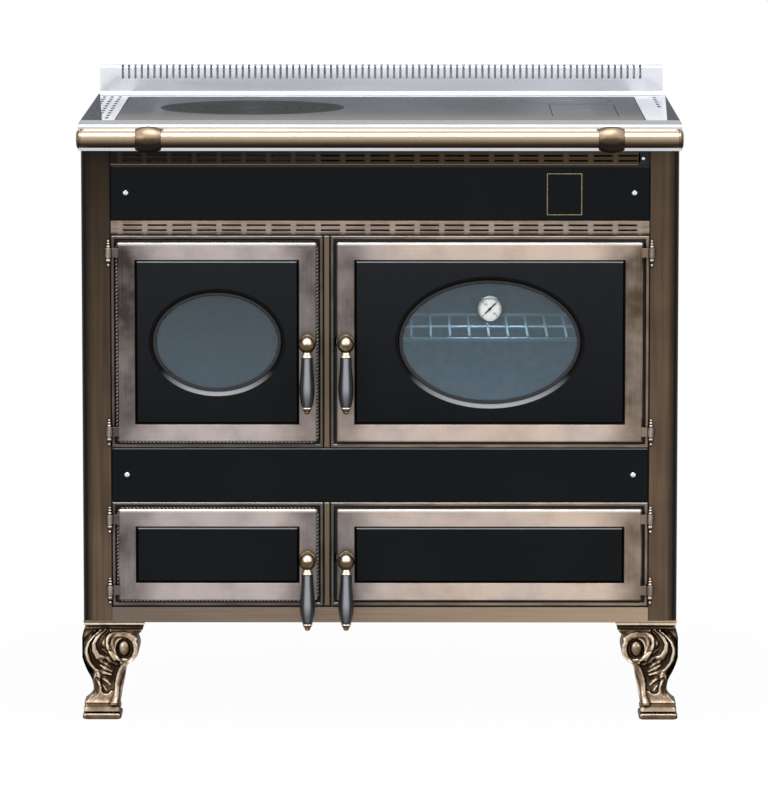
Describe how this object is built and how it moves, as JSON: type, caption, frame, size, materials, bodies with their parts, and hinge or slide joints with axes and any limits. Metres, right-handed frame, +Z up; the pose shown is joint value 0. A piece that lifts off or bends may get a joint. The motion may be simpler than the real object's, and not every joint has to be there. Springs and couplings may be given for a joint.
{
  "type": "wood cookstove",
  "caption": "Free-standing wood-burning range cooker: fire door, oven, ash and store doors under a steel hob with lift-out rings, towel rail, slotted splashback and scroll feet.",
  "frame": {"origin": "on the floor, under the middle of the overall box", "axes": "+Z up, the front faces -Y, +X to the right seen from the front"},
  "size_m": [0.9, 0.6619, 0.9515],
  "materials": {
    "dark_bronze": "satin bronze-brown coat, darker in the folds",
    "black_paint": "matt black stove paint",
    "black_enamel": "smooth satin black enamel",
    "aged_bronze": "brushed and aged bronze, lacquered",
    "aged_brass": "aged brass, rubbed bright on the high spots",
    "satin_brass": "satin brushed brass",
    "stainless": "polished stainless sheet",
    "ground_steel": "ground grey top face, lightly browned by heat",
    "grip_grey": "turned wood under satin dark grey lacquer",
    "chrome": "bright chrome",
    "needle_black": "black",
    "glass": "clear heat-proof glass",
    "steel_sheet": "plain zinc-coated steel",
    "sealing_rope": "braided graphite-black glass rope",
    "firebrick": "rough pale fireclay",
    "cast_iron": "rough dark casting"
  },
  "bodies": {
    "stove": {"ash_box": "black_paint", "ash_pan": "steel_sheet", "back_panel": "black_paint", "band_screws": "chrome", "bands": "black_enamel", "base_tray": "dark_bronze", "columns": "dark_bronze", "cooking_plate": "ground_steel", "door_trims": "aged_bronze", "firebox_casing": "black_paint", "firebricks": "firebrick", "front_foot_left": "aged_bronze", "front_foot_right": "aged_bronze", "front_frame": "black_paint", "grate": "cast_iron", "hinge_pins": "aged_bronze", "hob_frame": "stainless", "oven_box": "stainless", "oven_rack": "stainless", "rail_brackets": "aged_bronze", "rear_feet": "steel_sheet", "side_panels": "dark_bronze", "smoke_baffle": "cast_iron", "smoke_shelf": "black_paint", "splashback": "stainless", "store_box": "black_paint", "towel_rail": "satin_brass", "vent_strips": "aged_bronze"},
    "firebox_door": {"firebox_door_frame": "aged_bronze", "firebox_door_panel": "black_enamel", "firebox_glass": "glass", "firebox_glass_clamp": "steel_sheet", "firebox_rope_seal": "sealing_rope"},
    "firebox_handle": {"firebox_handle_metal": "aged_brass", "firebox_handle_grip": "grip_grey"},
    "oven_door": {"oven_door_frame": "aged_bronze", "oven_door_panel": "black_enamel", "oven_glass": "glass", "oven_glass_clamp": "steel_sheet", "thermometer_case": "chrome"},
    "oven_handle": {"oven_handle_metal": "aged_brass", "oven_handle_grip": "grip_grey"},
    "ash_door": {"ash_door_frame": "aged_bronze", "ash_door_panel": "black_enamel", "ash_rope_seal": "sealing_rope"},
    "ash_handle": {"ash_handle_metal": "aged_brass", "ash_handle_grip": "grip_grey"},
    "store_door": {"store_door_frame": "aged_bronze", "store_door_panel": "black_enamel"},
    "store_handle": {"store_handle_metal": "aged_brass", "store_handle_grip": "grip_grey"},
    "thermometer_needle": {"thermometer_needle": "needle_black"},
    "ring_1": {"hob_ring_1": "ground_steel"},
    "ring_2": {"hob_ring_2": "ground_steel"},
    "ring_3": {"hob_ring_3": "ground_steel"},
    "ring_4": {"hob_ring_4": "ground_steel"},
    "centre_lid": {"hob_centre_lid": "ground_steel"},
    "flue_lid": {"flue_lid": "ground_steel"},
    "access_lid": {"access_lid": "ground_steel"},
    "damper": {"damper": "chrome"}
  },
  "joints": [
    {"name": "firebox_door_hinge", "type": "hinge", "parent": "stove", "child": "firebox_door", "pos_m": [-0.406, -0.263, 0.5755], "axis": [0, 0, -1], "range_deg": [0, 110]},
    {"name": "firebox_handle_turn", "type": "hinge", "parent": "firebox_door", "child": "firebox_handle", "pos_m": [-0.10875, -0.295, 0.5755], "axis": [0, 1, 0], "range_deg": [0, 80]},
    {"name": "oven_door_hinge", "type": "hinge", "parent": "stove", "child": "oven_door", "pos_m": [0.406, -0.263, 0.5755], "axis": [0, 0, 1], "range_deg": [0, 110]},
    {"name": "oven_handle_turn", "type": "hinge", "parent": "oven_door", "child": "oven_handle", "pos_m": [-0.05075, -0.295, 0.5755], "axis": [0, -1, 0], "range_deg": [0, 80]},
    {"name": "ash_door_hinge", "type": "hinge", "parent": "stove", "child": "ash_door", "pos_m": [-0.406, -0.263, 0.254], "axis": [0, 0, -1], "range_deg": [0, 110]},
    {"name": "ash_handle_turn", "type": "hinge", "parent": "ash_door", "child": "ash_handle", "pos_m": [-0.10875, -0.295, 0.248], "axis": [0, 1, 0], "range_deg": [0, 80]},
    {"name": "store_door_hinge", "type": "hinge", "parent": "stove", "child": "store_door", "pos_m": [0.406, -0.263, 0.254], "axis": [0, 0, 1], "range_deg": [0, 110]},
    {"name": "store_handle_turn", "type": "hinge", "parent": "store_door", "child": "store_handle", "pos_m": [-0.05075, -0.295, 0.248], "axis": [0, -1, 0], "range_deg": [0, 80]},
    {"name": "thermometer_needle_turn", "type": "hinge", "parent": "oven_door", "child": "thermometer_needle", "pos_m": [0.16425, -0.26, 0.6255], "axis": [0, 1, 0], "range_deg": [-180, 90], "stiffness_Nm_per_rad": 0.0002},
    {"name": "ring_1_lift", "type": "slide", "parent": "stove", "child": "ring_1", "axis": [0, 0, 1], "range_m": [0, 0.1]},
    {"name": "ring_2_lift", "type": "slide", "parent": "ring_1", "child": "ring_2", "axis": [0, 0, 1], "range_m": [0, 0.1]},
    {"name": "ring_3_lift", "type": "slide", "parent": "ring_2", "child": "ring_3", "axis": [0, 0, 1], "range_m": [0, 0.1]},
    {"name": "ring_4_lift", "type": "slide", "parent": "ring_3", "child": "ring_4", "axis": [0, 0, 1], "range_m": [0, 0.1]},
    {"name": "centre_lid_lift", "type": "slide", "parent": "ring_4", "child": "centre_lid", "axis": [0, 0, 1], "range_m": [0, 0.1]},
    {"name": "flue_lid_lift", "type": "slide", "parent": "stove", "child": "flue_lid", "axis": [0, 0, 1], "range_m": [0, 0.2]},
    {"name": "access_lid_lift", "type": "slide", "parent": "stove", "child": "access_lid", "axis": [0, 0, 1], "range_m": [0, 0.1]},
    {"name": "damper_pull", "type": "slide", "parent": "stove", "child": "damper", "axis": [0, -1, 0], "range_m": [0, 0.07]}
  ]
}
